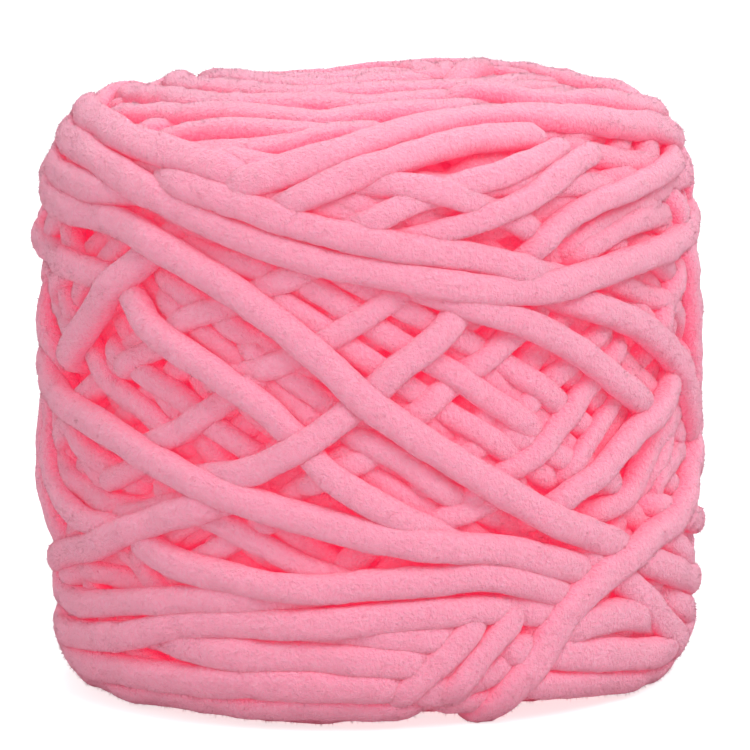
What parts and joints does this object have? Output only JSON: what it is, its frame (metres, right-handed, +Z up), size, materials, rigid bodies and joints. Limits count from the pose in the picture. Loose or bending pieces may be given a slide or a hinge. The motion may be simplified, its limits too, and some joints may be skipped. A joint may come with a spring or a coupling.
{
  "type": "ball of plush yarn",
  "caption": "Ball of thick plush yarn wound as a barrel with round shoulders, standing on its flat end.",
  "frame": {"origin": "middle of the flat underside that the ball stands on", "axes": "+Z up along the axis the ball was wound round, front towards -Y, right hand side towards +X"},
  "size_m": [0.1115, 0.1117, 0.102],
  "materials": {
    "yarn": "matt pink plush"
  },
  "bodies": {
    "root": {"yarn_ball": "yarn"}
  },
  "joints": []
}
